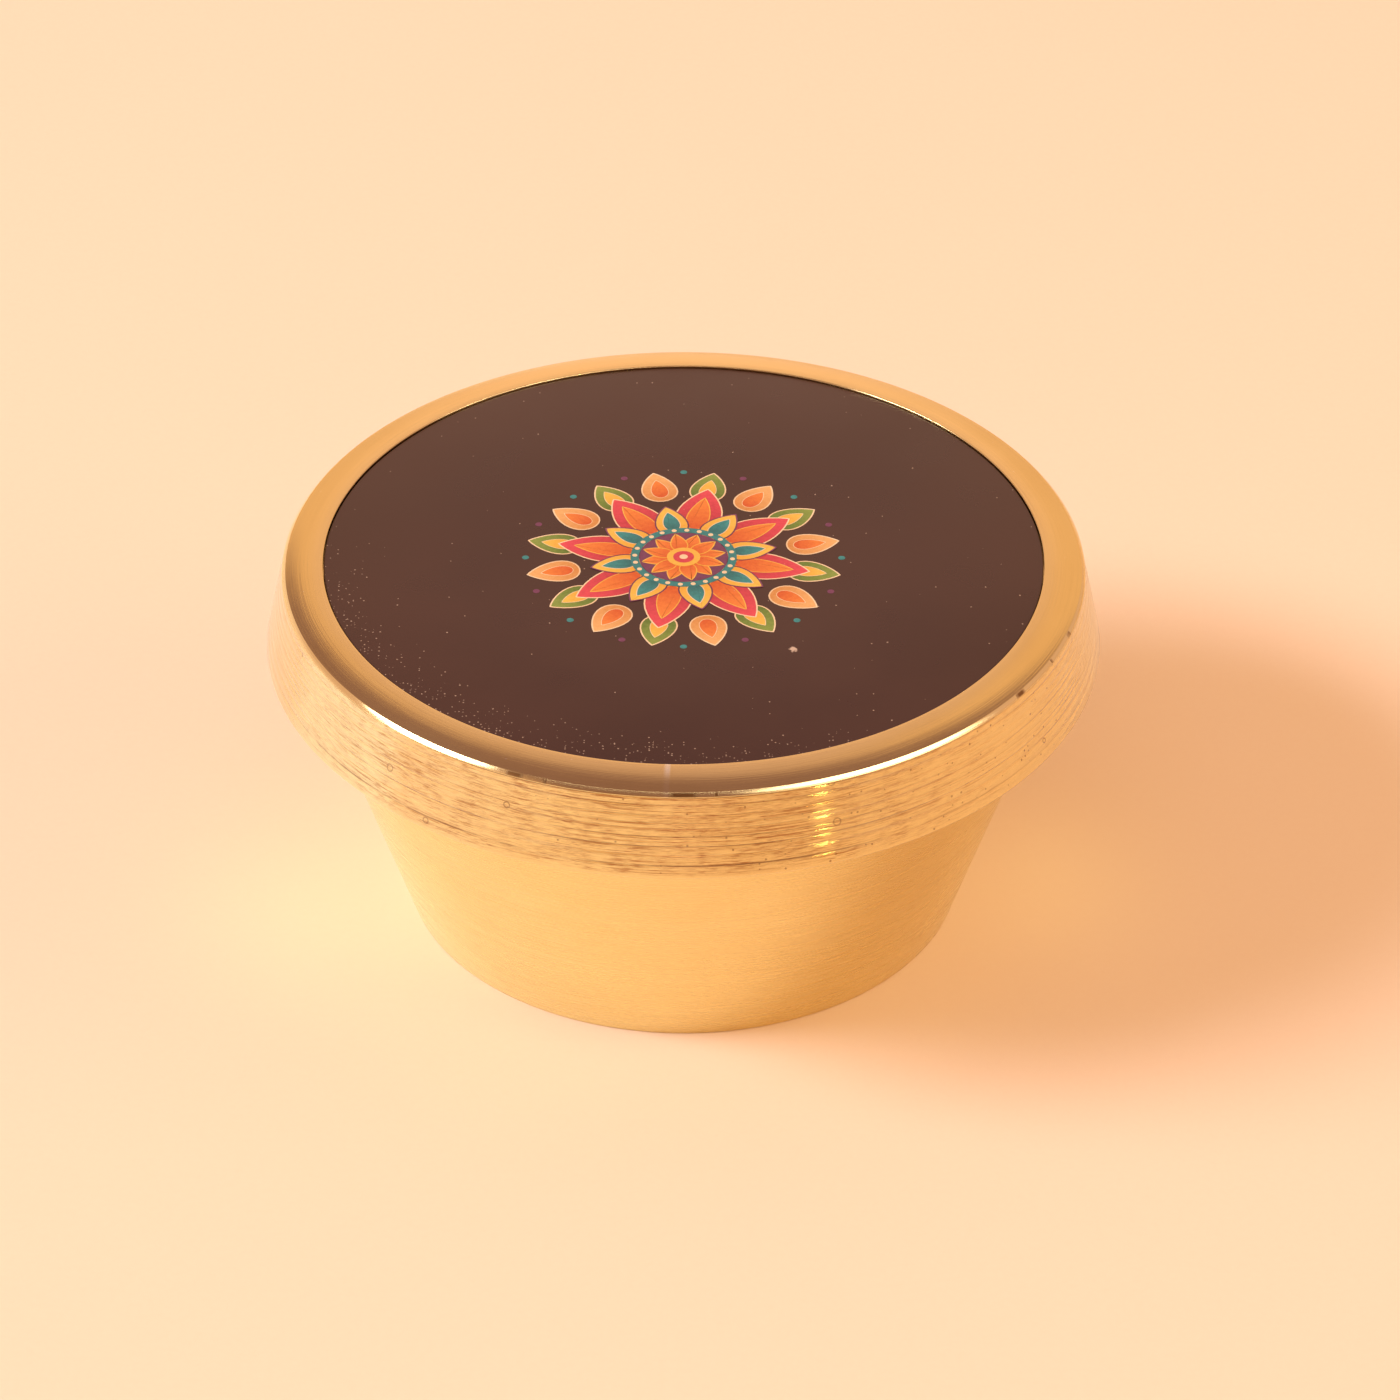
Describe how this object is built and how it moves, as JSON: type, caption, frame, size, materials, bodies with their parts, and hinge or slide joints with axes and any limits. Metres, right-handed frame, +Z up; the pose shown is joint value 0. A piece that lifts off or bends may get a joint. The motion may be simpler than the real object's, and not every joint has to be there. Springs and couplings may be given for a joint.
{
  "type": "spice box",
  "caption": "Round turned brass spice box: a conical bowl under a slip-on lid with a flared band and a printed disc, holding small tapered cups and a deep round spoon.",
  "frame": {"origin": "centre of the base, on the surface that the box stands on", "axes": "+Z up along the axis of the turned bowl and lid; +X along the spoon's handle, from its bowl to its free end"},
  "size_m": [0.1198, 0.1198, 0.0549],
  "materials": {
    "bowl_brass": "satin, fine turning lines",
    "lid_brass": "coarse turned band, smooth polished ring",
    "disc_print": "satin dark print",
    "cup_brass": "spun and polished",
    "spoon_brass": "polished"
  },
  "bodies": {
    "bowl": {"bowl": "bowl_brass"},
    "lid": {"lid": "lid_brass", "lid_disc": "disc_print"},
    "spoon": {"spoon": "spoon_brass"},
    "cup_centre": {"cup_centre": "cup_brass"},
    "cup_1": {"cup_1": "cup_brass"},
    "cup_2": {"cup_2": "cup_brass"},
    "cup_3": {"cup_3": "cup_brass"},
    "cup_4": {"cup_4": "cup_brass"},
    "cup_5": {"cup_5": "cup_brass"},
    "cup_6": {"cup_6": "cup_brass"}
  },
  "joints": [
    {"name": "lid_lift", "type": "slide", "parent": "bowl", "child": "lid", "axis": [0, 0, 1], "range_m": [0, 0.16]},
    {"name": "spoon_lift", "type": "slide", "parent": "bowl", "child": "spoon", "axis": [0, 0, 1], "range_m": [0, 0.12]},
    {"name": "cup_centre_lift", "type": "slide", "parent": "bowl", "child": "cup_centre", "axis": [0, 0, 1], "range_m": [0, 0.08]},
    {"name": "cup_1_lift", "type": "slide", "parent": "bowl", "child": "cup_1", "axis": [0, 0, 1], "range_m": [0, 0.08]},
    {"name": "cup_2_lift", "type": "slide", "parent": "bowl", "child": "cup_2", "axis": [0, 0, 1], "range_m": [0, 0.08]},
    {"name": "cup_3_lift", "type": "slide", "parent": "bowl", "child": "cup_3", "axis": [0, 0, 1], "range_m": [0, 0.08]},
    {"name": "cup_4_lift", "type": "slide", "parent": "bowl", "child": "cup_4", "axis": [0, 0, 1], "range_m": [0, 0.08]},
    {"name": "cup_5_lift", "type": "slide", "parent": "bowl", "child": "cup_5", "axis": [0, 0, 1], "range_m": [0, 0.08]},
    {"name": "cup_6_lift", "type": "slide", "parent": "bowl", "child": "cup_6", "axis": [0, 0, 1], "range_m": [0, 0.08]}
  ],
  "couplings": [
    {"joint": "spoon_lift", "follows": "lid_lift", "ratio": 0.75},
    {"joint": "cup_centre_lift", "follows": "lid_lift", "ratio": 0.5},
    {"joint": "cup_1_lift", "follows": "lid_lift", "ratio": 0.5},
    {"joint": "cup_2_lift", "follows": "lid_lift", "ratio": 0.5},
    {"joint": "cup_3_lift", "follows": "lid_lift", "ratio": 0.5},
    {"joint": "cup_4_lift", "follows": "lid_lift", "ratio": 0.5},
    {"joint": "cup_5_lift", "follows": "lid_lift", "ratio": 0.5},
    {"joint": "cup_6_lift", "follows": "lid_lift", "ratio": 0.5}
  ]
}
